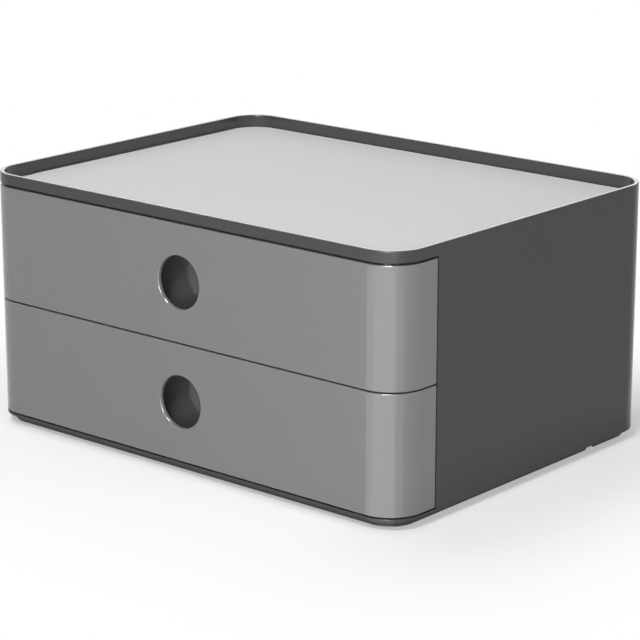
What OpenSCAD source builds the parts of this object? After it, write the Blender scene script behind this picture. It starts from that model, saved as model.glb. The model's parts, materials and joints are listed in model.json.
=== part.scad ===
// Desktop file drawer: a casing with two drawers whose fronts wrap round the corners.
// Millimetres. +Z is up, the fronts face -Y, and the origin is under the middle of the
// box, on the surface that the feet stand on.

/* [Casing] */
// Width over the sides
case_w = 260; // [220:1:320]
// Depth from the drawer fronts to the back
case_d = 195; // [160:1:260]
// Radius of the four upright corners
corner_r = 17.5; // [14:0.5:22]
// Thickness of the side and back walls and of the rim
wall = 2.4; // [2:0.1:3]
// Height of the rim band above the upper drawer front
band_h = 5.5; // [4.5:0.1:7]
// Thickness of the ledge that ties the front of the rim to the deck
shoulder_t = 1.3; // [1:0.1:2]
// Thickness of the wall under that ledge
shoulder_wall = 1.5; // [1.2:0.1:2.5]
// Thickness of the deck that carries the top plate
deck_t = 2.2; // [1.8:0.1:3]
// Height of the sill under the lower drawer front
sill_h = 1.3; // [1:0.1:2]
// Thickness of the casing floor
floor_t = 2.2; // [1.8:0.1:3]

/* [Top plate] */
// Depth from the top of the rim to the plate
plate_depth = 6.3; // [5.6:0.1:9]
// Thickness of the plate
plate_t = 2; // [1.5:0.1:3]
// Gap between the plate and the rim
plate_gap = 0.3; // [0.2:0.05:0.6]

/* [Plinth and feet] */
// Height of the plinth under the casing
plinth_h = 3.7; // [3:0.1:6]
// How far the plinth stands in from the casing
plinth_inset = 3.75; // [3:0.05:6]
// Thickness of the plinth's top skin
plinth_skin = 1.6; // [1.4:0.1:2]
// Thickness of the plinth's skirt and ribs
skirt_t = 2; // [1.5:0.1:3]
// Width of the notch in each side of the skirt
notch_w = 7.5; // [5:0.5:12]
// Distance from the back face to the middle of the notch
notch_back = 40.75; // [40:0.25:55]
// Diameter of a rubber foot
foot_d = 16; // [12:0.5:20]
// How far the feet stand proud of the plinth
foot_proud = 1; // [0.6:0.1:2]
// Distance from the side face to the middle of a foot
foot_in_x = 25; // [20:0.5:32]
// Distance from the front and back faces to the middle of a foot
foot_in_y = 25.5; // [22:0.5:32]

/* [Drawer fronts] */
// Height of one drawer front
front_h = 57.2; // [50:0.1:80]
// Thickness of a drawer front
front_t = 2.1; // [1.8:0.1:2.8]
// Gap between the back of a front and the casing's front edges
front_fit = 0.3; // [0.2:0.05:0.6]
// How far a front wraps back along the sides
front_wrap = 28; // [25:0.1:35]
// Open line above, below and between the fronts
front_gap = 0.7; // [0.5:0.05:1.2]
// Gap between the back edge of a front and the casing side
wrap_gap = 0.4; // [0.3:0.05:1]
// Diameter of the finger hole
hole_d = 25.5; // [18:0.5:32]
// How far the finger hole sits above the middle of the front
hole_rise = 0.4; // [0:0.1:3]
// Room for the finger between a front and the tray behind it
finger_room = 8.3; // [6:0.1:14]
// Thickness of the ribs behind a front
rib_t = 1.6; // [1.2:0.1:2.5]
// Distance of the inner pair of ribs from the middle
rib_x = 40; // [34:1:50]
// Distance of the screws from the middle
front_screw_x = 70; // [60:1:85]

/* [Trays] */
// Thickness of the tray walls
tray_wall = 2; // [1.5:0.1:3]
// Thickness of the tray bottom
tray_floor = 2; // [1.5:0.1:3]
// Height of the tray's underside above the front's lower edge
tray_lift = 5.9; // [4.5:0.1:10]
// Gap between the back of a tray and the casing
tray_back_gap = 2.5; // [2:0.1:5]
// Radius of the tray's front corners
tray_front_r = 6; // [3:0.5:10]
// Thickness of the side flanges that the tray hangs on
flange_t = 2.2; // [1.8:0.1:3]
// How far a drawer pulls out before its stops meet
travel = 115; // [80:1:118]

/* [Runners] */
// How far a runner stands in from the casing side
runner_depth = 6; // [5.5:0.1:8]
// Thickness of the runner's back
runner_web = 1.6; // [1.2:0.1:2]
// Thickness of the runner's upper and lower lips
runner_lip = 1.6; // [1.2:0.1:2.5]
// Gap between the flange and the lower lip
run_under = 0.2; // [0.1:0.05:0.4]
// Gap between the flange and the upper lip
run_over = 0.4; // [0.3:0.05:0.8]
// Gap between the tray side and the runner
run_side = 0.5; // [0.3:0.05:1]
// Height of the stop nib on the runner's back
nib_h = 0.8; // [0.6:0.05:1.2]
// Gap between the flange and the stop nib
nib_gap = 0.3; // [0.2:0.05:0.4]
// Gap between the stop block and the runner's back
block_gap = 0.2; // [0.15:0.05:0.3]
// Length of a stop block
block_l = 6; // [4:0.5:10]

/* [Divider] */
// Thickness of the divider shelf
divider_t = 2.2; // [1.8:0.1:3]
// Gap between the shelf and the casing walls
divider_gap = 0.2; // [0.1:0.05:0.5]

/* [Screws] */
// Diameter of the screw shanks
screw_d = 2.8; // [2.4:0.1:3]
// Diameter of the screw heads
head_d = 5.6; // [5:0.1:6]
// Height of a pan head
head_h = 1.8; // [1.4:0.1:2.2]
// Gap between a screw and the hole it bites in, across the diameter
pilot_gap = 0.1; // [0.06:0.02:0.2]
// Length of a base screw
base_screw_l = 7; // [6:0.5:7.5]
// Length of a front screw
front_screw_l = 8; // [6:0.5:9]
// Diameter of a screw boss
boss_d = 7; // [6:0.5:9]

/* [Hidden] */
$fn = 96;
eps = 0.01;
over = 5;

half_w = case_w / 2;
half_d = case_d / 2;
inner_x = half_w - wall;
inner_y = half_d - wall;

// Levels, from the surface up
plinth_z = foot_proud;
shell_z = plinth_z + plinth_h;
sill_z = shell_z + sill_h;
floor_z = shell_z + floor_t;
front_pitch = front_h + front_gap;
lower_z = sill_z + front_gap;
upper_z = lower_z + front_pitch;
band_z = upper_z + front_pitch;
rim_z = band_z + band_h;
plate_z = rim_z - plate_depth - plate_t;
deck_z = plate_z - deck_t;
shoulder_z = band_z + shoulder_t;
divider_z = deck_z - front_pitch;

// The fronts end on the sides here, and the casing sides start behind them
wrap_y = -half_d + front_wrap;
side_y = wrap_y + wrap_gap;
// The ledge behind the rim runs on past that line, so that it joins the casing sides
ledge_end_y = side_y + shoulder_wall;
front_back_y = -half_d + front_t;
// The casing's front edges stand in this far, behind the fronts
front_step = front_t + front_fit;

// The tray hangs on its flanges in the runners
tray_y0 = front_back_y + finger_room;
tray_y1 = inner_y - tray_back_gap;
tray_x = inner_x - runner_depth - run_side;
tray_rear_r = corner_r - wall - tray_back_gap;
runner_h = 2 * runner_lip + run_under + flange_t + run_over;
runner_y0 = side_y + 1.2;
runner_y1 = half_d - corner_r;
nib_x = inner_x - runner_web - nib_h;
flange_x = nib_x - nib_gap;
flange_y0 = -half_d + corner_r;
flange_y1 = runner_y1 - runner_web - 0.3;
block_x0 = tray_x + 1.5;
block_x1 = inner_x - runner_web - block_gap;
block_y0 = flange_y1 - block_l;
nib_l = 2;
stop_slack = 0.4;
nib_y1 = block_y0 - travel - stop_slack;

// Ledges that carry the runners, and nibs that hold the shelf down
ledge_w = 3;
ledge_t = 2;
keeper_w = 1.2;
keeper_t = 1.5;
keeper_l = 6;

// Feet and base screws share their places
foot_x = half_w - foot_in_x;
foot_y = half_d - foot_in_y;
foot_top = shell_z - plinth_skin;
foot_fit = 0.15;
foot_chamfer = 0.6;
collar_t = 1.5;
base_boss_gap = 1;
base_boss_z = lower_z + tray_lift - base_boss_gap;
pilot_d = screw_d + pilot_gap;
screw_hole_d = screw_d + 0.4;
tip_gap = 0.4;
recess_w = 0.8;
recess_l = 3.2;
recess_h = 0.9;

// Plan of the casing, drawn in by inset on every side
module outline(inset) {
  w = case_w - 2 * inset;
  d = case_d - 2 * inset;
  r = corner_r - inset;
  square([w - 2 * r, d], center = true);
  square([w, d - 2 * r], center = true);
  for (sx = [-1, 1], sy = [-1, 1])
    translate([sx * (w / 2 - r), sy * (d / 2 - r)]) circle(r);
}

// Upright block of that plan from level z0 to level z1
module prism(inset, z0, z1) {
  translate([0, 0, z0]) linear_extrude(z1 - z0) outline(inset);
}

// Box between two corner points
module block(low, high) {
  translate(low) cube(high - low);
}

// Everything in front of the plane y, from level z0 to level z1
module in_front_of(y, z0, z1) {
  block([-half_w - over, -half_d - over, z0], [half_w + over, y, z1]);
}

// Copies at the four feet
module at_feet() {
  for (sx = [-1, 1], sy = [-1, 1])
    translate([sx * foot_x, sy * foot_y, 0]) children();
}

// Straight bar along Y on the inside of both casing sides
module side_bars(depth, y0, y1, z0, z1) {
  for (s = [0, 1]) mirror([s, 0, 0])
    block([inner_x - depth, y0, z0], [inner_x + wall / 2, y1, z1]);
}

// One moulding: rim, deck, sides, back and floor, open at the front
module casing_shell() {
  color("dimgray") difference() {
    union() {
      difference() {
        prism(0, shell_z, rim_z);
        // Recess inside the rim, down to the deck, and narrower where the ledge runs
        prism(wall, shoulder_z, rim_z + over);
        difference() {
          prism(wall, plate_z, rim_z + over);
          in_front_of(ledge_end_y, plate_z - over, rim_z + 2 * over);
        }
        prism(front_step + shoulder_wall, plate_z, rim_z + over);
        // Bay for the drawers
        prism(wall, floor_z, deck_z);
        in_front_of(side_y, floor_z, deck_z);
        // Room for the drawer fronts, flush with the rim band and the sill
        difference() {
          in_front_of(side_y, sill_z, band_z);
          prism(front_step, shell_z, rim_z);
        }
      }
      for (top = [deck_z, divider_z])
        side_bars(ledge_w, runner_y0, runner_y1, top - runner_h - ledge_t, top - runner_h);
      for (y = [-1, 0, 1] * runner_y1 * 0.7)
        side_bars(keeper_w, y - keeper_l / 2, y + keeper_l / 2,
                  divider_z + divider_t, divider_z + divider_t + keeper_t);
      at_feet() translate([0, 0, shell_z + eps])
        cylinder(h = base_boss_z - shell_z - eps, d = boss_d);
    }
    at_feet() translate([0, 0, shell_z - over])
      cylinder(h = over + base_screw_l + tip_gap - plinth_skin, d = pilot_d);
  }
}

// Light plate on the deck, drawn in at the front where the ledge runs
module top_plate() {
  color("gainsboro") translate([0, 0, plate_z]) linear_extrude(plate_t) {
    outline(front_step + shoulder_wall + plate_gap);
    difference() {
      outline(wall + plate_gap);
      translate([-half_w, -half_d]) square([case_w, ledge_end_y + plate_gap + half_d]);
    }
  }
}

// Stepped plinth: a shallow pan, open below, with a well for each foot
module base_plate() {
  color("dimgray") difference() {
    union() {
      difference() {
        prism(plinth_inset, plinth_z, shell_z);
        prism(plinth_inset + skirt_t, plinth_z - over, foot_top);
      }
      for (x = [-1, 0, 1] * foot_x / 2)
        block([x - skirt_t / 2, -half_d + plinth_inset + skirt_t / 2, plinth_z],
              [x + skirt_t / 2, half_d - plinth_inset - skirt_t / 2, foot_top + eps]);
      at_feet() translate([0, 0, plinth_z])
        cylinder(h = foot_top - plinth_z + eps, d = foot_d + 2 * (foot_fit + collar_t));
    }
    at_feet() {
      translate([0, 0, plinth_z - over])
        cylinder(h = foot_top - plinth_z + over, d = foot_d + 2 * foot_fit);
      translate([0, 0, foot_top - eps])
        cylinder(h = plinth_skin + 2 * eps, d1 = head_d + 0.2, d2 = screw_hole_d);
    }
    for (s = [0, 1]) mirror([s, 0, 0])
      block([half_w - plinth_inset - skirt_t - eps, half_d - notch_back - notch_w / 2, 0],
            [half_w, half_d - notch_back + notch_w / 2, shell_z + over]);
  }
}

// Shelf between the bays, lying on the lower runners
module divider_shelf() {
  color("dimgray") translate([0, 0, divider_z]) linear_extrude(divider_t) difference() {
    outline(wall + divider_gap);
    translate([-half_w, -half_d]) square([case_w, corner_r]);
  }
}

// Channel strip that carries one flange, right-hand side, with its top at level top
module runner_at(top) {
  difference() {
    block([inner_x - runner_depth, runner_y0, top - runner_h], [inner_x, runner_y1, top]);
    block([inner_x - runner_depth - over, runner_y0 - over, top - runner_h + runner_lip],
          [inner_x - runner_web, runner_y1 - runner_web, top - runner_lip]);
  }
  block([nib_x, nib_y1 - nib_l, top - runner_h + runner_lip - eps],
        [inner_x - runner_web + eps, nib_y1, top - runner_lip + eps]);
}

module runner_upper_right() { color("silver") runner_at(deck_z); }
module runner_upper_left() { color("silver") mirror([1, 0, 0]) runner_at(deck_z); }
module runner_lower_right() { color("silver") runner_at(divider_z); }
module runner_lower_left() { color("silver") mirror([1, 0, 0]) runner_at(divider_z); }

// Rubber foot in its well, with a chamfered lower edge
module foot(sx, sy) {
  r = foot_d / 2;
  color("black") translate([sx * foot_x, sy * foot_y, 0]) rotate_extrude()
    polygon([[0, 0], [r - foot_chamfer, 0], [r, foot_chamfer], [r, foot_top], [0, foot_top]]);
}

module foot_front_left() { foot(-1, -1); }
module foot_front_right() { foot(1, -1); }
module foot_rear_left() { foot(-1, 1); }
module foot_rear_right() { foot(1, 1); }

// Cross recess in a screw head, sunk from level 0 down
module cross_recess() {
  for (a = [0, 90]) rotate(a)
    translate([-recess_l / 2, -recess_w / 2, -recess_h]) cube([recess_l, recess_w, over]);
}

// Countersunk screws that draw the plinth up to the casing
module base_screws() {
  color("silver") at_feet() difference() {
    union() {
      translate([0, 0, foot_top]) cylinder(h = plinth_skin - 0.1, d1 = head_d, d2 = screw_d);
      translate([0, 0, foot_top]) cylinder(h = base_screw_l, d = screw_d);
    }
    translate([0, 0, foot_top]) mirror([0, 0, 1]) cross_recess();
  }
}

// Plan of a tray, drawn in by inset: small front corners, larger rear corners
module tray_plan(inset) {
  x = tray_x - inset;
  y0 = tray_y0 + inset;
  y1 = tray_y1 - inset;
  rf = tray_front_r - inset;
  rr = tray_rear_r - inset;
  for (s = [-1, 1]) {
    translate([s * (x - rf), y0 + rf]) circle(rf);
    translate([s * (x - rr), y1 - rr]) circle(rr);
  }
  translate([-x, y0 + rf]) square([2 * x, y1 - rr - y0 - rf]);
  translate([rf - x, y0]) square([2 * (x - rf), rf + eps]);
  translate([rr - x, y1 - rr - eps]) square([2 * (x - rr), rr + eps]);
}

// Tray with a flange along each side; z is the level of its front's lower edge
module tray_at(z, top) {
  rim = top - runner_lip - run_over;
  color("gray") difference() {
    union() {
      translate([0, 0, z + tray_lift]) linear_extrude(rim - z - tray_lift) tray_plan(0);
      for (s = [0, 1]) mirror([s, 0, 0]) difference() {
        block([tray_x - tray_wall / 2, flange_y0, rim - flange_t], [flange_x, flange_y1, rim]);
        block([block_x0, block_y0, rim - over], [half_w, half_d, rim + over]);
      }
    }
    translate([0, 0, z + tray_lift + tray_floor]) linear_extrude(front_h) tray_plan(tray_wall);
    for (s = [-1, 1])
      translate([s * front_screw_x, tray_y0 - over, z + front_h / 2]) rotate([-90, 0, 0])
        cylinder(h = tray_wall + 2 * over, d = screw_hole_d);
  }
}

// Front that wraps round both corners, with ribs and screw bosses behind it
module front_at(z) {
  mid = z + front_h / 2;
  color("slategray") difference() {
    union() {
      difference() {
        prism(0, z, z + front_h);
        prism(front_t, z - over, z + front_h + over);
        block([-case_w, wrap_y, z - over], [case_w, case_d, z + front_h + over]);
      }
      for (x = [-1, 1] * rib_x)
        block([x - rib_t / 2, -half_d + front_t / 2, mid - 18],
              [x + rib_t / 2, tray_y0, mid + 18]);
      for (s = [0, 1]) mirror([s, 0, 0])
        block([tray_x, -half_d + corner_r, mid - 12],
              [half_w - front_t / 2, -half_d + corner_r + rib_t, mid + 12]);
      for (x = [-1, 1] * front_screw_x)
        translate([x, -half_d + front_t / 2, mid]) rotate([-90, 0, 0])
          cylinder(h = tray_y0 + half_d - front_t / 2, d = boss_d);
    }
    translate([0, 0, mid + hole_rise]) rotate([90, 0, 0]) cylinder(h = case_d, d = hole_d);
    for (x = [-1, 1] * front_screw_x)
      translate([x, tray_y0 + over, mid]) rotate([90, 0, 0])
        cylinder(h = over + front_screw_l - tray_wall + tip_gap, d = pilot_d);
  }
}

// Pan-head screws from inside the tray into the bosses of the front
module front_screws_at(z) {
  color("silver") for (x = [-1, 1] * front_screw_x)
    translate([x, tray_y0 + tray_wall, z + front_h / 2]) rotate([-90, 0, 0]) difference() {
      union() {
        cylinder(h = head_h, d = head_d);
        translate([0, 0, -front_screw_l]) cylinder(h = front_screw_l + eps, d = screw_d);
      }
      translate([0, 0, head_h]) cross_recess();
    }
}

// Stop block let into the end of a flange, right-hand side
module stop_block_at(top) {
  rim = top - runner_lip - run_over;
  color("black") block([block_x0, block_y0, rim - flange_t], [block_x1, flange_y1, rim]);
}

module upper_drawer_tray() { tray_at(upper_z, deck_z); }
module upper_drawer_front() { front_at(upper_z); }
module upper_front_screws() { front_screws_at(upper_z); }
module upper_stop_block_right() { stop_block_at(deck_z); }
module upper_stop_block_left() { mirror([1, 0, 0]) stop_block_at(deck_z); }

module lower_drawer_tray() { tray_at(lower_z, divider_z); }
module lower_drawer_front() { front_at(lower_z); }
module lower_front_screws() { front_screws_at(lower_z); }
module lower_stop_block_right() { stop_block_at(divider_z); }
module lower_stop_block_left() { mirror([1, 0, 0]) stop_block_at(divider_z); }

casing_shell();
top_plate();
base_plate();
divider_shelf();
runner_upper_left();
runner_upper_right();
runner_lower_left();
runner_lower_right();
foot_front_left();
foot_front_right();
foot_rear_left();
foot_rear_right();
base_screws();
upper_drawer_tray();
upper_drawer_front();
upper_front_screws();
upper_stop_block_left();
upper_stop_block_right();
lower_drawer_tray();
lower_drawer_front();
lower_front_screws();
lower_stop_block_left();
lower_stop_block_right();
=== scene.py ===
# %% [markdown]
# # A desktop box with two drawers
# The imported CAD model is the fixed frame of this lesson: it says where every part sits and
# how it moves. What is left for Blender is what the eye needs, which is softened edges, real
# surface finishes, light and a camera. A moulded box like this is a few profiles carried
# along a few paths, so the new pieces are worked out with numpy as points on grids.

# %% Load the frame
import json
from math import cos, radians, sin

import bmesh
import bpy
import numpy as np
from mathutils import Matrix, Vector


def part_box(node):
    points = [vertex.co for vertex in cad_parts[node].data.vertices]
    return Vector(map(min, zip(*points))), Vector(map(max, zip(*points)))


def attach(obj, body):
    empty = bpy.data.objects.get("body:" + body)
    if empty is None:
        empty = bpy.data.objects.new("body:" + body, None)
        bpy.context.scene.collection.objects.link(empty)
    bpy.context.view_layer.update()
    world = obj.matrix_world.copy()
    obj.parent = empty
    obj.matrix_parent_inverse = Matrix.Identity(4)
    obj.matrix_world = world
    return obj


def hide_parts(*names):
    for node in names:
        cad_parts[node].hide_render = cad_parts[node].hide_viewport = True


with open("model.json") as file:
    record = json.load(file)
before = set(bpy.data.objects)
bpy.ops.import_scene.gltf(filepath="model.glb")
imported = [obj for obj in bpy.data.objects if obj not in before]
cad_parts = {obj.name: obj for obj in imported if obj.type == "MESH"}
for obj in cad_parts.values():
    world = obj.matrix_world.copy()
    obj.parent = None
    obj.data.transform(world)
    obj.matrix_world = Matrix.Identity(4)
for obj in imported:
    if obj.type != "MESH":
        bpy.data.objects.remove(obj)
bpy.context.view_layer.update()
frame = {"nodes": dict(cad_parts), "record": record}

# %% [markdown]
# ## Sizes
# All sizes are in millimetres, as in the CAD model, and become metres when a mesh is made.
# The outer sizes come from the frame itself. Wall thicknesses and levels inside a part
# can't be read from its box, so they are written here, or beside the one piece they shape.

# %% Sizes in millimetres
MM = 0.001


def span(node):
    """Lowest and highest corner of a CAD node, in millimetres."""
    return [np.array(corner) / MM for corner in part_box(node)]


(_, _, SHELL_Z), (HALF_X, HALF_Y, RIM_Z) = span("casing_shell")
CORNER_R, WALL = 17.5, 2.4
BAND_Z = 122.5                          # lower edge of the band above the fronts
DECK_LOW, DECK_HIGH, PLATE_HIGH = 117.5, 119.7, 121.7
SILL_Z, FLOOR_Z = 6.0, 6.9              # front sill, inside floor
SIDE_Y = -69.1                          # where the side walls begin, behind the fronts
LEDGE_IN, LEDGE_END_Y = 3.0, -67.6      # ledge behind the band: depth, rear end
PANEL_T, WRAP_Y = 2.1, -69.5            # front panels: thickness, rear ends on the sides
DEEP = 12.0                             # how far a slab's edge reaches in before its flat cap
HIDE = 0.02                             # a step too small to see, between faces in one plane
print("box", [round(float(size), 2) for size in (2 * HALF_X, 2 * HALF_Y, RIM_Z)], "mm")

# %% [markdown]
# ## Paths and profiles
# Every moulding here follows the same plan, a rectangle with round corners. If a point of
# the plan is kept as an arc's centre, a direction out from it and a radius, then the same
# plan drawn in by any depth needs no new drawing: only the radius shrinks. A profile is a
# list of (depth, height) points, and carrying it round the path gives a grid of points.

# %% Paths round a rounded rectangle
RIGHT, BACK, LEFT, FRONT = range(4)
SIGNS = ((1, -1), (1, 1), (-1, 1), (-1, -1))    # quadrant of the corner before each side


def path(half_x, half_y, radii, legs, steps=18):
    """Path round a rounded rectangle, counter-clockwise: centres, directions and radii.

    A leg (i, None) is the quarter turn before side i, from 90i - 90 to 90i degrees. A leg
    (i, places) is a run along side i, with a point at each place on the free axis.
    """
    centres, angles, reach = [], [], []
    for i, places in legs:
        turn = np.linspace(90 * i - 90, 90 * i, steps + 1)
        angle = turn if places is None else np.full(len(places), 90.0 * i)
        centre = np.array(SIGNS[i]) * (half_x - radii[i], half_y - radii[i])
        centre = np.tile(centre, (len(angle), 1))
        if places is not None:
            centre[:, 1 - i % 2] = places
        centres.append(centre)
        angles.append(np.radians(angle))
        reach.append(np.full(len(angle), float(radii[i])))
    angle = np.concatenate(angles)
    directions = np.stack([np.cos(angle), np.sin(angle)], 1)
    return np.concatenate(centres), directions, np.concatenate(reach)


def case_path(*legs):
    """Path round the box's own plan."""
    return path(HALF_X, HALF_Y, [CORNER_R] * 4, legs)


ALL_ROUND = ((BACK, None), (LEFT, None), (FRONT, None), (RIGHT, None))
QUARTER = len(case_path((BACK, None))[2])
print("plan path has", len(case_path(*ALL_ROUND)[2]), "points,", QUARTER, "in each corner")

# %% [markdown]
# Real mouldings have no knife edges, so a profile is written as its sharp corners and the
# size of the softening at each. The number of points doesn't depend on the sizes, which lets
# one profile pass into another along a path.

# %% Profiles with soft corners
NO_LENGTH = 1e-9                        # keeps a corner that is given twice from dividing by 0


def carry(way, profile, shift=(0, 0)):
    """Point (j, k) is centre j plus (radius j minus depth k) times direction j, at height k."""
    centre, out, reach = way
    profile = np.broadcast_to(profile, (len(reach),) + profile.shape[-2:])
    depth, height = profile[..., 0], profile[..., 1]
    plan = centre[:, None] + (reach[:, None] - depth)[..., None] * out[:, None] + shift
    return np.concatenate([plan, height[..., None]], -1)


def soften(corners, sizes, closed=True, steps=4):
    """Polygon with rounded corners.

    Corner P of size t becomes P + t(1 - sin a) towards the last corner + t(1 - cos a)
    towards the next, for a from 0 to 90 degrees. At a right angle that is a quarter circle,
    and on a straight side it is just points in a row. Open ends keep their place.
    """
    corners, sizes = np.array(corners, float), np.array(sizes, float)[:, None, None]
    last, after = np.roll(corners, 1, 0) - corners, np.roll(corners, -1, 0) - corners
    last, after = (v / np.maximum(np.linalg.norm(v, axis=1), NO_LENGTH)[:, None]
                   for v in (last, after))
    a = np.linspace(0, np.pi / 2, steps + 1)[None, :, None]
    bend = (1 - np.sin(a)) * last[:, None] + (1 - np.cos(a)) * after[:, None]
    points = (corners[:, None] + sizes * bend).reshape(-1, 2)
    return points if closed else points[steps:-steps]


print("a softened square has", len(soften([(0, 0), (0, 1), (1, 1), (1, 0)], [0.1] * 4)), "points")

# %% [markdown]
# ## From grids to pieces
# A grid becomes a surface when neighbouring points are joined by four-sided faces. Where
# the path or the profile isn't closed on itself, a flat cap shuts the end, so that each
# piece is a closed shell with its faces outward, as a real moulding is.

# %% Surfaces and pieces
WELD, SHARP_BEND = 2e-6, 35             # metres between points that meet, degrees


def surface(grid, ring=True, loop=True, caps=True, skip=None):
    """Faces between neighbouring points of a grid.

    ring joins the last row to the first and loop the last column to the first. With caps, an
    open end gets one flat face. skip marks the faces to leave out.
    """
    rows, columns = grid.shape[:2]
    number = np.arange(rows * columns).reshape(rows, columns)
    n = np.vstack([number, number[:1]]) if ring else number
    n = np.hstack([n, n[:, :1]]) if loop else n
    faces = np.stack([n[:-1, :-1], n[1:, :-1], n[1:, 1:], n[:-1, 1:]], -1)
    faces = (faces.reshape(-1, 4) if skip is None else faces[~skip]).tolist()
    if caps and not ring:
        faces += [number[0].tolist(), number[-1, ::-1].tolist()]
    if caps and not loop:
        faces += [number[::-1, 0].tolist(), number[:, -1].tolist()]
    return grid.reshape(-1, 3), faces


def piece(name, shells, body, replaced):
    """Joins shells into one object on a body, in place of the CAD nodes in replaced.

    Points that meet are welded, and edges that bend by less than SHARP_BEND shade smooth.
    """
    counts = np.cumsum([0] + [len(points) for points, _ in shells])
    faces = [[v + start for v in face] for start, (_, part) in zip(counts, shells)
             for face in part]
    mesh = bpy.data.meshes.new(name)
    mesh.from_pydata(np.vstack([points for points, _ in shells]) * MM, [], faces)
    bm = bmesh.new()
    bm.from_mesh(mesh)
    bmesh.ops.remove_doubles(bm, verts=bm.verts, dist=WELD)
    open_edges = sum(not edge.is_manifold for edge in bm.edges)
    bm.to_mesh(mesh)
    bm.free()
    mesh.shade_smooth()
    mesh.set_sharp_from_angle(angle=radians(SHARP_BEND))
    obj = bpy.data.objects.new(name, mesh)
    bpy.context.scene.collection.objects.link(obj)
    even = obj.modifiers.new("even_shading", "WEIGHTED_NORMAL")
    even.keep_sharp = True
    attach(obj, body)
    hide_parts(*replaced)
    print(name, len(mesh.polygons), "faces,", open_edges, "open edges")
    return obj


print("points within", WELD, "m weld, and bends over", SHARP_BEND, "degrees stay sharp")

# %% [markdown]
# Ribs, ledges and bosses are small blocks and round posts, and the same sweep makes them.
# Each is a closed shell that is sunk a little into the wall it grows from.

# %% Blocks and posts
SIDES, LESS = (-1, 1), 0.9


def bar(low, high, soft=0.25):
    """Block between two corners, in millimetres, with every edge softened.

    The profile is softened a little less than the plan, so that its points stay apart.
    """
    low, high = np.array(low, float), np.array(high, float)
    half, middle = (high - low) / 2, (low + high) / 2
    way = path(half[0], half[1], [soft] * 4, ALL_ROUND, steps=2)
    profile = soften([(soft, low[2]), (0, low[2]), (0, high[2]), (soft, high[2])],
                     [0, soft * LESS, soft * LESS, 0], closed=False, steps=2)
    return surface(carry(way, profile, middle[:2]), loop=False)


def post(centre, radius, low, high, soft=0.3):
    """Upright round post with softened ends."""
    way = path(radius, radius, [radius] * 4, ALL_ROUND, steps=8)
    profile = soften([(radius / 2, low), (0, low), (0, high), (radius / 2, high)],
                     [0, soft, soft, 0], closed=False, steps=2)
    return surface(carry(way, profile, centre), loop=False)


def at_side(s, near, far):
    """The two ends on X of what lies between two distances from the middle, on side s."""
    return sorted((s * near, s * far))


print("a block has", len(bar((0, 0, 0), (2, 2, 2))[1]), "faces, a post",
      len(post((0, 0), 3, 0, 9)[1]))

# %% [markdown]
# ## The casing
# Sides, back and rim are one wall, and above the drawers only the rim's band goes on, with
# a small ledge behind it that slopes down to the plate. One could model each stretch and
# merge them with booleans, but those leave untidy faces. Here one closed profile runs round
# the whole box and changes its shape where the stretches meet: two columns of points stand
# at the same place there, and the faces between them become the wall's flat end.

# %% Wall, rim and ledge
RIM_SOFT, FOOT_SOFT, BAND_SOFT, LEDGE_SOFT = 0.6, 0.35, 0.5, 0.3
LEDGE_Z, LEDGE_LOW = 122.8, 121.9       # the ledge's height at the band and at the plate


def wall_profile(kind):
    """Closed profile: up the outside, over the rim, down the inside.

    A side reaches the floor and has no ledge, a front is only band and ledge, and a join
    has the wall of the one and the ledge of the other.
    """
    at_front = kind == "front"
    ledge = WALL if kind == "side" else LEDGE_IN
    foot = (WALL, BAND_Z) if at_front else (0, SHELL_Z)
    heel = (WALL, DECK_LOW) if at_front else (WALL, SHELL_Z)
    corners = [foot, (0, BAND_Z), (0, RIM_Z), (WALL, RIM_Z), (WALL, LEDGE_Z),
               (ledge, LEDGE_LOW), (ledge, DECK_LOW), (WALL, DECK_LOW), heel]
    sizes = [0 if at_front else FOOT_SOFT, BAND_SOFT, RIM_SOFT, RIM_SOFT, 0,
             0 if kind == "side" else LEDGE_SOFT, 0, 0, 0]
    return soften(corners, sizes)


END_ROWS = [SIDE_Y, SIDE_Y, LEDGE_END_Y, LEDGE_END_Y]
END_KINDS = ["front", "join", "join", "side"]
wall_way = case_path((RIGHT, END_ROWS), (BACK, None), (LEFT, None), (LEFT, END_ROWS[::-1]),
                     (FRONT, None), (RIGHT, None))
kinds = END_KINDS + ["side"] * 2 * QUARTER + END_KINDS[::-1] + ["front"] * 2 * QUARTER
shapes = {kind: wall_profile(kind) for kind in set(kinds)}
wall = surface(carry(wall_way, np.stack([shapes[kind] for kind in kinds])))
print("wall grid:", len(kinds), "columns of", len(shapes["side"]), "points")

# %% [markdown]
# Deck and floor are slabs whose edges end inside the wall, so no seam shows. In front, the
# floor comes forward as a low sill under the drawers.

# %% Deck and floor
SILL_SOFT, STEP_SOFT = 0.3, 0.2


def slab(split_y, side_profile, front_profile):
    """Slab whose profile is side_profile behind split_y and front_profile before it."""
    split = [split_y] * 2
    way = case_path((RIGHT, split), (BACK, None), (LEFT, None), (LEFT, split),
                    (FRONT, None), (RIGHT, None))
    in_front = [1, 0] + [0] * 2 * QUARTER + [0, 1] + [1] * 2 * QUARTER
    profiles = np.stack([front_profile if f else side_profile for f in in_front])
    return surface(carry(way, profiles), loop=False)


def edge_profile(low, high, depth, soft=(0, 0)):
    """Open profile of a slab: out along the bottom, up at depth, back along the top."""
    return soften([(DEEP, low), (depth, low), (depth, high), (DEEP, high)], [0, *soft, 0], False)


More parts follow.
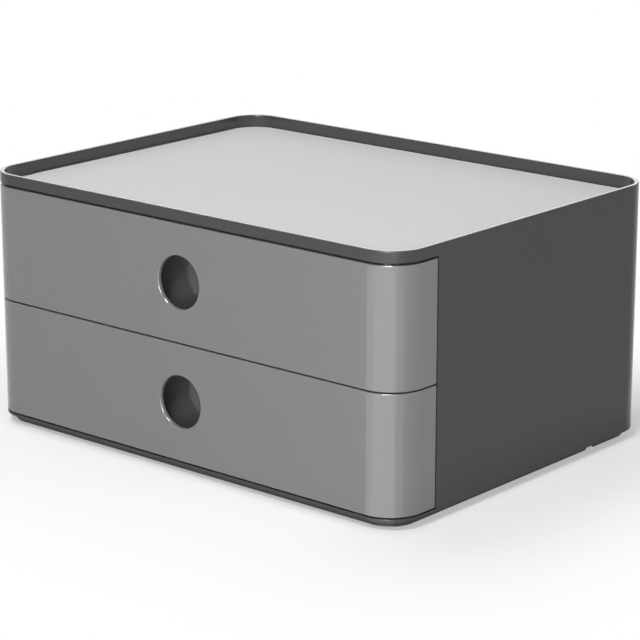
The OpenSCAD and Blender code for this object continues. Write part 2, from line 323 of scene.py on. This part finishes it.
in_wall, in_ledge = WALL / 2, (WALL + LEDGE_IN) / 2
deck = slab((SIDE_Y + LEDGE_END_Y) / 2, edge_profile(DECK_LOW + HIDE, DECK_HIGH, in_wall),
            edge_profile(DECK_LOW + HIDE, DECK_HIGH, in_ledge))
sill = soften([(DEEP, SHELL_Z + HIDE), (0, SHELL_Z), (0, SILL_Z), (WALL, SILL_Z),
               (WALL, FLOOR_Z), (DEEP, FLOOR_Z)],
              [0, FOOT_SOFT, SILL_SOFT, 0, STEP_SOFT, 0], False)
inner_edge = soften([(DEEP, SHELL_Z + HIDE), (in_wall, SHELL_Z + HIDE), (in_wall, SILL_Z),
                     (in_wall, SILL_Z), (in_wall, FLOOR_Z), (DEEP, FLOOR_Z)], [0] * 6, False)
floor_pan = slab(SIDE_Y - HIDE, inner_edge, sill)
print("deck and floor:", len(deck[1]), "and", len(floor_pan[1]), "faces")

# %% [markdown]
# Inside, ledges carry the runners, nibs hold the divider shelf down, and four bosses take
# the screws of the plinth. They show only through an open drawer, so plain blocks will do.

# %% Ledges, nibs and bosses inside the casing
ROOT = 1                                # how far a fitting is sunk into its wall
RUNNER_H, RUN_Y = 6.0, (-67.9, 80.0)
RUNNER_TOPS = (DECK_LOW, 59.6)
SHELF_W, SHELF_T = 3, 2                 # a ledge's width and thickness
NIB_W, NIB_HALF, NIB_Y, NIB_Z = 1.2, 3, (-56, 0, 56), (61.8, 63.3)
BOSS_X, BOSS_Y, BOSS_R, BOSS_TOP = 105.0, 72.0, 3.5, 11.6

inside = HALF_X - WALL
fittings = []
for s in SIDES:
    for top in RUNNER_TOPS:
        x0, x1 = at_side(s, inside - SHELF_W, inside + ROOT)
        low = top - RUNNER_H
        fittings.append(bar((x0, RUN_Y[0], low - SHELF_T), (x1, RUN_Y[1], low)))
    for y in NIB_Y:
        x0, x1 = at_side(s, inside - NIB_W, inside + ROOT)
        fittings.append(bar((x0, y - NIB_HALF, NIB_Z[0]), (x1, y + NIB_HALF, NIB_Z[1])))
    for y in (-BOSS_Y, BOSS_Y):
        fittings.append(post((s * BOSS_X, y), BOSS_R, FLOOR_Z - ROOT, BOSS_TOP))
print(len(fittings), "fittings")
casing = piece("casing_moulding", [wall, deck, floor_pan, *fittings],
               "casing", ["casing_shell"])

# %% [markdown]
# ## The plate in the top
# A flat sheet with a hair-thin gap round it. Its edge follows the rim, and steps in where
# the ledge runs behind the band, so it is a slab of the same kind as the deck.

# %% Top plate
PLATE_STEP_Y, PLATE_GAP, PLATE_SOFT = -67.3, 0.3, (0.2, 0.35)
by_rim = edge_profile(DECK_HIGH, PLATE_HIGH, WALL + PLATE_GAP, PLATE_SOFT)
by_ledge = edge_profile(DECK_HIGH, PLATE_HIGH, LEDGE_IN + PLATE_GAP, PLATE_SOFT)
plate = piece("plate_sheet", [slab(PLATE_STEP_Y, by_rim, by_ledge)],
              "casing", ["top_plate"])

# %% [markdown]
# ## The plinth
# A shallow pan under the casing. Its skirt leans in towards the desk, and a notch in each
# side lets a blade in to lift the box off one below it. The skirt is two open sweeps, one
# on each side of the notches, and the flat skin over it draws in at the notches.

# %% Plinth
PLINTH_LOW, SKIN_LOW, NOTCH = 1.0, 3.1, (53.0, 60.5)
SKIRT_FOOT, SKIRT_HEAD, SKIRT_INNER = 4.3, 3.0, 6.0     # depths from the casing's outside
SKIN_IN, SKIRT_TOP, SKIN_TOP = 4.5, SHELL_Z + 0.05, SHELL_Z + 0.04
WELL_R, WELL_T, WELL_TOP = 9.65, 1.5, SKIN_LOW + 0.1
RIB_X, RIB_HALF, RIB_END, RIB_TOP = (-52.5, 0, 52.5), 1, 92.7, SKIN_LOW + 0.3
OUTER_SOFT, HEM_SOFT, WELL_SOFT = 0.8, 0.3, 0.2         # lower edges: skirt outside, inside, wells

skirt_profile = soften([(SKIRT_FOOT, PLINTH_LOW), (SKIRT_HEAD, SKIRT_TOP),
                        (SKIRT_INNER, SKIRT_TOP), (SKIRT_INNER, PLINTH_LOW)],
                       [OUTER_SOFT, 0, 0, HEM_SOFT])
front_skirt = case_path((LEFT, [NOTCH[0]]), (FRONT, None), (RIGHT, None), (RIGHT, [NOTCH[0]]))
rear_skirt = case_path((RIGHT, [NOTCH[1]]), (BACK, None), (LEFT, None), (LEFT, [NOTCH[1]]))
skirts = [surface(carry(way, skirt_profile), ring=False) for way in (front_skirt, rear_skirt)]

stops = [NOTCH[0], NOTCH[0], NOTCH[1], NOTCH[1]]
skin_way = case_path((RIGHT, stops), (BACK, None), (LEFT, None), (LEFT, stops[::-1]),
                     (FRONT, None), (RIGHT, None))
depths = ([SKIN_IN, SKIRT_INNER, SKIRT_INNER, SKIN_IN] + [SKIN_IN] * 2 * QUARTER) * 2
skin = surface(carry(skin_way, np.stack([edge_profile(SKIN_LOW, SKIN_TOP, d) for d in depths])),
               loop=False)

well_way = path(WELL_R, WELL_R, [WELL_R] * 4, ALL_ROUND, steps=8)
well = soften([(0, PLINTH_LOW), (0, WELL_TOP), (WELL_T, WELL_TOP), (WELL_T, PLINTH_LOW)],
              [WELL_SOFT, 0, 0, WELL_SOFT], steps=2)
wells = [surface(carry(well_way, well, (s * BOSS_X, y)))
         for s in SIDES for y in (-BOSS_Y, BOSS_Y)]
ribs = [bar((x - RIB_HALF, -RIB_END, PLINTH_LOW), (x + RIB_HALF, RIB_END, RIB_TOP))
        for x in RIB_X]
print("plinth:", len(skirts), "skirts,", len(wells), "foot wells,", len(ribs), "ribs")
plinth = piece("plinth_pan", [*skirts, skin, *wells, *ribs],
               "casing", ["base_plate"])

# %% [markdown]
# ## The drawer fronts
# Each front is a thin panel that wraps round both corners, so it is one profile carried
# along a path from side to side, shrinking a little at both ends to round them off. The
# finger hole is a tube of rings: from the panel's grid to a circle, round the soft lip,
# through the panel, and out to the grid again on the back. Rings and grid share their
# points, so they weld into one shell without a boolean.

# %% The wrapped panel
PANEL_SOFT, BACK_SOFT, END_SOFT, LEAST_SOFT = 0.4, 0.25, 0.8, 0.02
SOFT_POINTS, BOW_POINTS = 5, 5          # points of a softened corner, of a rounded end
CUT_CELLS, CUT_HALF = 20, 22.0          # the cut for the hole: cells each way, half width
HOLE_RISE = 0.4                         # the hole stands this far above the panel's middle


def panel_profile(low, high, shrink):
    """Closed profile of the panel, drawn in by shrink all round, with even cells up each face."""
    a, b = low + shrink, high - shrink
    sizes = np.array([PANEL_SOFT, PANEL_SOFT, BACK_SOFT, BACK_SOFT]) - shrink
    corners = soften([(shrink, a), (shrink, b), (PANEL_T - shrink, b), (PANEL_T - shrink, a)],
                     np.maximum(sizes, LEAST_SOFT))
    lower, upper, back_up, back_low = corners.reshape(4, -1, 2)
    t = np.linspace(0, 1, CUT_CELLS + 1)[1:-1, None]
    rise = lower[-1] + (upper[0] - lower[-1]) * t
    fall = back_up[-1] + (back_low[0] - back_up[-1]) * t
    return np.concatenate([lower, rise, upper, back_up, fall, back_low])


def cut_edge(grid, j, k):
    """The grid points round columns j and rows k, counter-clockwise from the front."""
    return np.concatenate([grid[j[:-1], k[0]], grid[j[-1], k[:-1]],
                           grid[j[:0:-1], k[-1]], grid[j[0], k[:0:-1]]])


def panel(low, high):
    """Wrapped panel between two levels, with its hole."""
    bow = np.linspace(0, np.pi / 2, BOW_POINTS)
    ends = list(WRAP_Y - END_SOFT + END_SOFT * np.sin(bow))
    across = np.linspace(-CUT_HALF, CUT_HALF, CUT_CELLS + 1)
    way = case_path((LEFT, ends[::-1]), (FRONT, None), (FRONT, across), (RIGHT, None),
                    (RIGHT, ends))
    shrink = np.zeros(len(way[2]))
    shrink[-BOW_POINTS:] = END_SOFT * (1 - np.cos(bow))
    shrink[:BOW_POINTS] = shrink[-BOW_POINTS:][::-1]
    grid = carry(way, np.stack([panel_profile(low, high, s) for s in shrink]))
    left, face, back = BOW_POINTS + QUARTER, SOFT_POINTS - 1, CUT_CELLS + 3 * SOFT_POINTS - 2
    skip = np.zeros((grid.shape[0] - 1, grid.shape[1]), bool)
    skip[left:left + CUT_CELLS, face:face + CUT_CELLS] = True
    skip[left:left + CUT_CELLS, back:back + CUT_CELLS] = True
    cells = np.arange(CUT_CELLS + 1)
    outer = cut_edge(grid, left + cells, face + cells)
    inner = cut_edge(grid, left + cells, back + cells[::-1])
    return [surface(grid, ring=False, skip=skip),
            hole_tube(inner, outer, (low + high) / 2 + HOLE_RISE)]


print("panel profile has", len(panel_profile(0, 57, 0)), "points")

# %% [markdown]
# The edge of the hole catches the light as a thin bright crescent, so its lip is a true
# quarter round and not a shading trick.

# %% The finger hole
HOLE_R, LIP = 12.75, 0.9
LIP_POINTS, MIX_STEPS = 7, 4
CUT_START = -135                        # degrees, where the cut's edge begins: lower left


def hole_tube(inner, outer, level):
    """Rings from the back of the panel through the hole to its face.

    A lip ring of a quarter turn a has the radius R + s(1 - sin a) and lies s(1 - cos a)
    behind its face. Between the grid and the lip, rings are straight mixes of the two.
    """
    angle = np.radians(CUT_START) + np.arange(len(outer)) * 2 * np.pi / len(outer)
    round_at = np.stack([np.cos(angle), np.zeros_like(angle), np.sin(angle)], 1)

    def ring(radius, y):
        return round_at * radius + (0, y, level)

    a = np.linspace(0, np.pi / 2, LIP_POINTS)
    y0, y1 = -HALF_Y, -HALF_Y + PANEL_T
    lip = [ring(HOLE_R + LIP * (1 - sin(t)), y0 + LIP * (1 - cos(t))) for t in a]
    heel = [ring(HOLE_R + BACK_SOFT * (1 - sin(t)), y1 - BACK_SOFT * (1 - cos(t)))
            for t in a[::2]]
    mix = np.linspace(0, 1, MIX_STEPS + 1)[:-1, None, None]
    back = list(inner * (1 - mix) + heel[0] * mix)
    front = list(outer * (1 - mix) + lip[0] * mix)
    return surface(np.stack(back + heel + lip[::-1] + front[::-1]), ring=False, caps=False)


print("a front alone is", sum(len(faces) for _, faces in panel(0, 57)), "faces")

# %% [markdown]
# Behind each front, two ribs and two returns hold it off the tray, and two round bosses
# take the screws that join them.

# %% Both fronts
TRAY_X, TRAY_Y0, TRAY_Y1 = 121.1, -87.1, 92.6   # half width of the trays, front and rear end
TOP_EASE = 0.3                          # the upper front stays this far under the band
STAY_X, STAY_HALF, STAY_UP = 40, 0.8, 18        # ribs: place, half thickness, half height
RETURN_Y, RETURN_UP = (-80, -78.4), 12
STUD_X, STUD_R = 70, 3.5                # bosses for the screws


def lying(shell, y):
    """Turns an upright shell to lie along +Y: (x, y, z) becomes (x, z, -y), moved to start at y."""
    points, faces = shell
    return np.stack([points[:, 0], points[:, 2] + y, -points[:, 1]], 1), faces


def back_of_front(low, high):
    """Ribs, returns and screw bosses of a front."""
    middle = (low + high) / 2
    inside_y = -HALF_Y + PANEL_T / 2
    shells = []
    for s in SIDES:
        shells.append(bar((s * STAY_X - STAY_HALF, inside_y, middle - STAY_UP),
                          (s * STAY_X + STAY_HALF, TRAY_Y0, middle + STAY_UP)))
        x0, x1 = at_side(s, TRAY_X, HALF_X - PANEL_T / 2)
        shells.append(bar((x0, RETURN_Y[0], middle - RETURN_UP),
                          (x1, RETURN_Y[1], middle + RETURN_UP)))
        stud = post((s * STUD_X, -middle), STUD_R, 0, TRAY_Y0 - inside_y)
        shells.append(lying(stud, inside_y))
    return shells


fronts = {}
for drawer in ("upper", "lower"):
    low, high = (corner[2] for corner in span(drawer + "_drawer_front"))
    high -= TOP_EASE if drawer == "upper" else 0
    fronts[drawer] = piece(drawer + "_front_panel", panel(low, high) + back_of_front(low, high),
                           drawer + "_drawer", [drawer + "_drawer_front"])

# %% [markdown]
# ## The trays
# A tray is a pan: an open profile that starts under its middle, turns up the outside, goes
# over the rim and down to the inside of the bottom. Its rear corners are rounder than the
# front ones, which the path takes care of. Two flanges hang it in the runners, and behind
# the stop blocks they go on a little narrower.

# %% Trays
TRAY_T, TRAY_CAP = 2, 5.6               # wall, and the depth where the flat bottom begins
TRAY_FRONT_R, TRAY_REAR_R = 6, 12.6
HEEL_SOFT, BRIM_SOFT, INNER_SOFT = 3.0, 0.5, 2.2
FLANGE_X, FLANGE_T, FLANGE_Y = 124.9, 2.2, (-80.0, 72.1)
TAIL_X, TAIL_Y = 122.6, (FLANGE_Y[1] - 0.6, 78.1)


def tray(low, high):
    """Pan with flanges between two levels."""
    middle_y, half_y = (TRAY_Y0 + TRAY_Y1) / 2, (TRAY_Y1 - TRAY_Y0) / 2
    radii = [TRAY_FRONT_R, TRAY_REAR_R, TRAY_REAR_R, TRAY_FRONT_R]
    way = path(TRAY_X, half_y, radii, ALL_ROUND, steps=12)
    pan = soften([(TRAY_CAP, low), (0, low), (0, high), (TRAY_T, high), (TRAY_T, low + TRAY_T),
                  (TRAY_CAP, low + TRAY_T)],
                 [0, HEEL_SOFT, BRIM_SOFT, BRIM_SOFT, INNER_SOFT, 0], closed=False, steps=6)
    shells = [surface(carry(way, pan, (0, middle_y)), loop=False)]
    for s in SIDES:
        for x_out, (y0, y1) in ((FLANGE_X, FLANGE_Y), (TAIL_X, TAIL_Y)):
            x0, x1 = at_side(s, TRAY_X - ROOT, x_out)
            shells.append(bar((x0, y0, high - FLANGE_T), (x1, y1, high - HIDE)))
    return shells


trays = {}
for drawer in ("upper", "lower"):
    low, high = (corner[2] for corner in span(drawer + "_drawer_tray"))
    trays[drawer] = piece(drawer + "_tray_pan", tray(low, high), drawer + "_drawer",
                          [drawer + "_drawer_tray"])

# %% [markdown]
# ## Finishes
# Everything is moulded plastic, and what tells one moulding from another is fine: a polished
# face has a faint orange peel, a spark-eroded one a tight grain, and both have soft
# differences in how they shine. One shader group makes all three from the Object
# coordinates, and each material gives it its own sizes and strengths.

# %% Helpers for node trees
def socket(group, name, kind, way, value=None):
    """Adds one input or output to a node group."""
    made = group.interface.new_socket(name=name, in_out=way, socket_type="NodeSocket" + kind)
    if value is not None:
        made.default_value = value
    return made


def noise(tree, source, scale, detail=2.0):
    """3-D noise of about one lump per 1/scale metres."""
    node = tree.nodes.new("ShaderNodeTexNoise")
    node.inputs["Detail"].default_value = detail
    if isinstance(scale, float):
        node.inputs["Scale"].default_value = scale
    else:
        tree.links.new(scale, node.inputs["Scale"])
    tree.links.new(source, node.inputs["Vector"])
    return node.outputs["Fac"]


def maths(tree, kind, *values):
    """One Math node, whose inputs are numbers or other nodes' outputs."""
    node = tree.nodes.new("ShaderNodeMath")
    node.operation = kind
    for value, slot in zip(values, node.inputs):
        if isinstance(value, (int, float)):
            slot.default_value = value
        else:
            tree.links.new(value, slot)
    return node.outputs[0]


print("node helpers:", socket.__name__, noise.__name__, maths.__name__)

# %% [markdown]
# The group reads three noises. The finest is the grain, a middle one is the peel, and a
# wide, cloudy one moves tone and shine by a few hundredths, as the flow of the plastic does.

# %% The surface group
PEEL_SCALE, CLOUD_SCALE = 90.0, 14.0    # lumps per metre
CLOUD_TONE, GRAIN_TONE = 0.05, 0.03     # how far each moves the colour's value, end to end


def moulded_group():
    """Colour, roughness and normal of a moulded surface."""
    group = bpy.data.node_groups.new("moulded_surface", "ShaderNodeTree")
    socket(group, "Colour", "Color", "INPUT", (0.5, 0.5, 0.5, 1))
    socket(group, "Roughness", "Float", "INPUT", 0.3)
    socket(group, "Shine change", "Float", "INPUT", 0.04)
    socket(group, "Peel depth", "Float", "INPUT", 0.00002)
    socket(group, "Grain scale", "Float", "INPUT", 3000.0)
    socket(group, "Grain depth", "Float", "INPUT", 0.000002)
    socket(group, "Colour", "Color", "OUTPUT")
    socket(group, "Roughness", "Float", "OUTPUT")
    socket(group, "Normal", "Vector", "OUTPUT")
    start, end = group.nodes.new("NodeGroupInput"), group.nodes.new("NodeGroupOutput")
    given, made, link = start.outputs, end.inputs, group.links.new
    where = group.nodes.new("ShaderNodeTexCoord").outputs["Object"]
    peel = noise(group, where, PEEL_SCALE)
    grain = noise(group, where, given["Grain scale"], 3.0)
    cloud = noise(group, where, CLOUD_SCALE, 3.0)
    tone = group.nodes.new("ShaderNodeHueSaturation")
    link(given["Colour"], tone.inputs["Color"])
    lift = maths(group, "MULTIPLY_ADD", cloud, CLOUD_TONE, 1 - CLOUD_TONE / 2)
    lift = maths(group, "SUBTRACT", lift, GRAIN_TONE / 2)
    link(maths(group, "MULTIPLY_ADD", grain, GRAIN_TONE, lift), tone.inputs["Value"])
    link(tone.outputs["Color"], made["Colour"])
    swing = maths(group, "SUBTRACT", cloud, 0.5)
    swing = maths(group, "MULTIPLY", swing, given["Shine change"])
    link(maths(group, "ADD", given["Roughness"], swing), made["Roughness"])
    height = maths(group, "ADD", maths(group, "MULTIPLY", peel, given["Peel depth"]),
                   maths(group, "MULTIPLY", grain, given["Grain depth"]))
    bump = group.nodes.new("ShaderNodeBump")
    bump.inputs["Distance"].default_value = 1.0
    link(height, bump.inputs["Height"])
    link(bump.outputs["Normal"], made["Normal"])
    return group


SKIN = moulded_group()
print("surface group with", len(SKIN.nodes), "nodes")

# %% [markdown]
# Each finish is a Principled shader whose colour, roughness and normal come from the group.
# What is the same all over, such as how strongly it reflects, is set on the shader itself.
# Casing, fronts and trays are polished, and the plate is matt with a fine grain.

# %% Materials
def finish(name, colour, roughness, specular=0.5, shine=0.04, peel=0.0, scale=3000.0,
           grain=0.0, metal=0.0):
    """Material from the surface group. Depths are in metres, colours linear."""
    material = bpy.data.materials.new(name)
    material.use_nodes = True
    tree = material.node_tree
    shader = tree.nodes["Principled BSDF"]
    shader.inputs["Specular IOR Level"].default_value = specular
    shader.inputs["Metallic"].default_value = metal
    skin = tree.nodes.new("ShaderNodeGroup")
    skin.node_tree = SKIN
    values = {"Colour": (*colour, 1), "Roughness": roughness, "Shine change": shine,
              "Peel depth": peel, "Grain scale": scale, "Grain depth": grain}
    for key, value in values.items():
        skin.inputs[key].default_value = value
    tree.links.new(skin.outputs["Colour"], shader.inputs["Base Color"])
    tree.links.new(skin.outputs["Roughness"], shader.inputs["Roughness"])
    tree.links.new(skin.outputs["Normal"], shader.inputs["Normal"])
    return material


casing_grey = finish("casing_grey", (0.056, 0.056, 0.058), 0.18, specular=0.19,
                     peel=1.2e-5, grain=3e-7)
front_grey = finish("front_grey", (0.160, 0.165, 0.168), 0.10, specular=0.58,
                    peel=1.2e-5, grain=2e-7)
tray_grey = finish("tray_grey", (0.070, 0.070, 0.072), 0.09, shine=0.02,
                   peel=4e-6, grain=1e-7)
plate_grey = finish("plate_grey", (0.642, 0.630, 0.649), 0.7, specular=0.1,
                    scale=2600.0, grain=1.6e-5)
nylon = finish("runner_nylon", (0.60, 0.60, 0.57), 0.45, specular=0.45,
               peel=1e-5, grain=2e-6)
black = finish("block_black", (0.03, 0.03, 0.032), 0.4, peel=1e-5, grain=1e-6)
rubber = finish("foot_rubber_black", (0.03, 0.03, 0.03), 0.75, specular=0.3,
                scale=1800.0, grain=2e-5)
zinc = finish("screw_zinc", (0.62, 0.62, 0.60), 0.3, shine=0.15, scale=6000.0,
              grain=3e-6, metal=1.0)
print("finishes:", [made.name for made in (casing_grey, front_grey, tray_grey, plate_grey,
                                           nylon, black, rubber, zinc)])

# %% [markdown]
# The new pieces take their finish directly. Shelf, runners, feet, blocks and screws are
# shown as the CAD model has them, and what each is made of stands in the part's record.

# %% Dress the pieces and the CAD parts that show
for obj in (casing, plinth):
    obj.data.materials.append(casing_grey)
plate.data.materials.append(plate_grey)
for obj in fronts.values():
    obj.data.materials.append(front_grey)
for obj in trays.values():
    obj.data.materials.append(tray_grey)

SLOT_FINISH = {"casing_plastic": casing_grey, "tray_plastic": tray_grey,
               "runner_plastic": nylon, "block_plastic": black,
               "foot_rubber": rubber, "screw_steel": zinc}
slot_of = {part["node"]: part["material_slot"] for part in frame["record"]["subparts"]}
kept = {name: obj for name, obj in frame["nodes"].items() if not obj.hide_render}
for name, obj in kept.items():
    for material_slot in obj.material_slots:
        material_slot.material = SLOT_FINISH[slot_of[name]]
print("CAD parts kept:", sorted(kept))

# %% [markdown]
# ## Camera
# The camera's place, turn and lens were solved from the box's edges, so the render lies
# over a picture taken from the same place.

# %% Camera
CAMERA_AT = (0.787618, -0.913074, 0.395147)     # metres
CAMERA_TILT, CAMERA_TURN = 74.239, 40.696       # degrees up from straight down, and round Z
LENS, SENSOR, NEAREST = 143.01, 36, 0.05        # millimetres, millimetres, metres

camera = bpy.data.objects.new("camera", bpy.data.cameras.new("camera"))
bpy.context.scene.collection.objects.link(camera)
bpy.context.scene.camera = camera
camera.data.lens = LENS
camera.data.sensor_width = SENSOR
camera.data.clip_start = NEAREST
camera.location = CAMERA_AT
camera.rotation_euler = (radians(CAMERA_TILT), 0, radians(CAMERA_TURN))
print("camera", round(float(np.linalg.norm(CAMERA_AT)), 3), "m from the origin, lens", LENS)

# %% [markdown]
# ## World
# The background is white to camera and mirror rays only. To all other rays the world is a
# weak, even light, so the greys keep their own level.

# %% World
AMBIENT = 0.08


def seen(tree):
    """1 for camera, glossy and transmission rays, 0 for others."""
    ray = tree.nodes.new("ShaderNodeLightPath").outputs
    both = maths(tree, "MAXIMUM", ray["Is Camera Ray"], ray["Is Glossy Ray"])
    return maths(tree, "MAXIMUM", both, ray["Is Transmission Ray"])


world = bpy.data.worlds.new("studio")
bpy.context.scene.world = world
world.use_nodes = True
tree = world.node_tree
back = tree.nodes["Background"]
back.inputs["Color"].default_value = (1, 1, 1, 1)
strength = maths(tree, "MULTIPLY_ADD", seen(tree), 1 - AMBIENT, AMBIENT)
tree.links.new(strength, back.inputs["Strength"])
bpy.context.scene.view_settings.view_transform = "Standard"
print("world: 1 where it is seen,", AMBIENT, "as light")

# %% [markdown]
# ## Floor
# A plain pale floor carries the box's shadow close by and turns to plain white further out.
# The way out from the box is the length of (|x| - half width, |y| - half depth), with
# anything below 0 counted as 0, so the shadow fades evenly round the box's own plan. Mirror
# rays get their white nearer to the box than camera rays do.

# %% Floor
FLOOR_R, FLOOR_SIDES = 3.0, 64
turns = np.linspace(0, 2 * np.pi, FLOOR_SIDES, endpoint=False)
disc = np.stack([np.cos(turns), np.sin(turns), 0 * turns], 1) * FLOOR_R
ground = bpy.data.meshes.new("floor")
ground.from_pydata(disc, [], [list(range(FLOOR_SIDES))])
floor = bpy.data.objects.new("floor", ground)
bpy.context.scene.collection.objects.link(floor)
print("floor", 2 * FLOOR_R, "m across")

# %% [markdown]
# The paper on it mixes a matt shader, which takes light and shadow, with an emission of 1,
# which is plain white. The share of white is worked out for camera and for mirror rays, and
# a ray that is neither gets none.

# %% Paper
PAPER_GREY, PAPER_ROUGH = 0.84, 0.9
SEEN_FADE = (0.4, 0.14)                 # share of white at the box, metres to where all is white
MIRROR_FADE = (0.1, 0.045)

paper = bpy.data.materials.new("paper")
paper.use_nodes = True
tree = paper.node_tree
shader, target = tree.nodes["Principled BSDF"], tree.nodes["Material Output"]
shader.inputs["Base Color"].default_value = (PAPER_GREY, PAPER_GREY, PAPER_GREY, 1)
shader.inputs["Roughness"].default_value = PAPER_ROUGH
shader.inputs["Specular IOR Level"].default_value = 0.0
glow = tree.nodes.new("ShaderNodeEmission")
outside = tree.nodes.new("ShaderNodeTexCoord").outputs["Object"]
for operation, value in (("ABSOLUTE", None), ("SUBTRACT", (HALF_X * MM, HALF_Y * MM, 0)),
                         ("MAXIMUM", (0, 0, 0)), ("LENGTH", None)):
    node = tree.nodes.new("ShaderNodeVectorMath")
    node.operation = operation
    tree.links.new(outside, node.inputs[0])
    if value:
        node.inputs[1].default_value = value
    outside = node.outputs["Value" if operation == "LENGTH" else "Vector"]
rays = tree.nodes.new("ShaderNodeLightPath").outputs
white = []
for ray, (at_box, white_from) in (("Is Camera Ray", SEEN_FADE), ("Is Glossy Ray", MIRROR_FADE)):
    fade = tree.nodes.new("ShaderNodeMapRange")
    fade.interpolation_type = "SMOOTHSTEP"
    fade.inputs["From Max"].default_value = white_from
    fade.inputs["To Min"].default_value = at_box
    tree.links.new(outside, fade.inputs["Value"])
    white.append(maths(tree, "MULTIPLY", fade.outputs["Result"], rays[ray]))
mix = tree.nodes.new("ShaderNodeMixShader")
tree.links.new(maths(tree, "MAXIMUM", *white), mix.inputs["Fac"])
tree.links.new(shader.outputs["BSDF"], mix.inputs[1])
tree.links.new(glow.outputs["Emission"], mix.inputs[2])
tree.links.new(mix.outputs["Shader"], target.inputs["Surface"])
ground.materials.append(paper)
print("paper material with", len(tree.nodes), "nodes")

# %% [markdown]
# ## Lamps
# Every lamp is a softbox that faces the middle of the box. A high key lamp and one above the
# left side give the plain tones, two low ones fill the fronts and reach into the finger
# holes, and one behind keeps the back from going dark. Highlights on gloss are a matter of
# what a face mirrors, so they have lamps of their own: a long one behind for the rim, and
# two sparks for the soft edges and the lips of the holes.

# %% Softboxes
FAR, NEAR, MIDDLE_Z = 1.8, 0.75, 0.06   # metres
AIM = (0, 0, MIDDLE_Z)


def softbox(name, place, aim, size, power):
    """Rectangular lamp at a place, turned to face the point it is aimed at."""
    lamp = bpy.data.lights.new(name, "AREA")
    lamp.shape = "RECTANGLE"
    lamp.size, lamp.size_y = size
    lamp.energy = power
    obj = bpy.data.objects.new(name, lamp)
    bpy.context.scene.collection.objects.link(obj)
    obj.location = place
    way = np.array(aim) - np.array(place)
    level = float(np.hypot(way[0], way[1]))
    obj.rotation_euler = (float(np.arctan2(level, -way[2])), 0,
                          float(np.arctan2(-way[0], way[1])))
    obj.visible_camera = False
    return obj


def around(azimuth, elevation, distance):
    """Point seen from the box's middle at an azimuth from the fronts towards +X."""
    a, e = radians(azimuth), radians(elevation)
    x, y, z = sin(a) * cos(e), -cos(a) * cos(e), sin(e)
    return (distance * x, distance * y, MIDDLE_Z + distance * z)


# name, azimuth and elevation in degrees, distance and size in metres, watts
BOXES = (("key", 18, 50, FAR, (0.6, 0.5), 22.0),
         ("back_box", 212, 10, FAR, (0.8, 0.4), 8.5),
         ("left_box", -90, 70, FAR, (0.8, 0.7), 7.8),
         ("low_left", 0, 6, NEAR, (0.35, 0.3), 0.15),
         ("low_right", 44, 7, NEAR, (0.3, 0.3), 1.85),
         ("rim_box", 220, 21, FAR, (1.3, 0.5), 6),
         ("high_spark", 31, 60, FAR, (0.4, 0.4), 60),
         ("low_spark", 24, 13, FAR, (0.4, 0.5), 45))
boxes = {name: softbox(name, around(azimuth, elevation, distance), AIM, size, watts)
         for name, azimuth, elevation, distance, size, watts in BOXES}
boxes["back_box"].visible_glossy = False
mirrored = [boxes[name] for name in ("rim_box", "high_spark", "low_spark")]
print(len(boxes), "softboxes, for highlights alone:", [lamp.name for lamp in mirrored])

# %% [markdown]
# What one sees in an upright glossy face is the floor in front of it. Two bright cards lie
# there, in front of the right corner, so the wrapped corner of the fronts lights up in one
# band with a crisp edge on its left and a softer one on its right. The cards start a little
# under the fronts, which keeps the band equally wide from top to bottom.

# %% Cards on the floor
CARD_SIZE, CARD_FROM = 0.5, -0.012      # metres, the second from the corner outwards
CARDS = (("card_left", -38, 1.25, 0.001),       # name, turn in degrees, brightness, height
         ("card_right", -14, 0.71, 0.003))


def card_power(brightness, width, depth):
    """Watts that give a flat lamp this brightness: pi times brightness times its area."""
    return brightness * np.pi * width * depth


corner = np.array([HALF_X - CORNER_R, -HALF_Y]) * MM
for name, turned, brightness, level in CARDS:
    a = radians(turned)
    across_card, away_card = np.array([cos(a), sin(a)]), np.array([sin(a), -cos(a)])
    x, y = corner + across_card * CARD_SIZE / 2 + away_card * (CARD_FROM + CARD_SIZE / 2)
    x, y = float(x), float(y)
    card = softbox(name, (x, y, level), (x, y, 1.0), (CARD_SIZE, CARD_SIZE),
                   card_power(brightness, CARD_SIZE, CARD_SIZE))
    card.rotation_euler[2] = a
    mirrored.append(card)
    print(name, "centred at", round(x, 3), round(y, 3))

# %% [markdown]
# The inside of the rim mirrors the top plate in the same way, so one more card covers the
# plate. The lamps for highlights and the cards are hidden from diffuse rays, so none of them
# changes a colour.

# %% Card over the plate
PLATE_CARD, PLATE_GLOW, PLATE_RAISE = (0.25, 0.185), 1.1, 0.0003
mirrored.append(softbox("plate_card", (0, 0, PLATE_HIGH * MM + PLATE_RAISE), (0, 0, 1),
                        PLATE_CARD, card_power(PLATE_GLOW, *PLATE_CARD)))
for lamp in mirrored:
    lamp.visible_diffuse = False
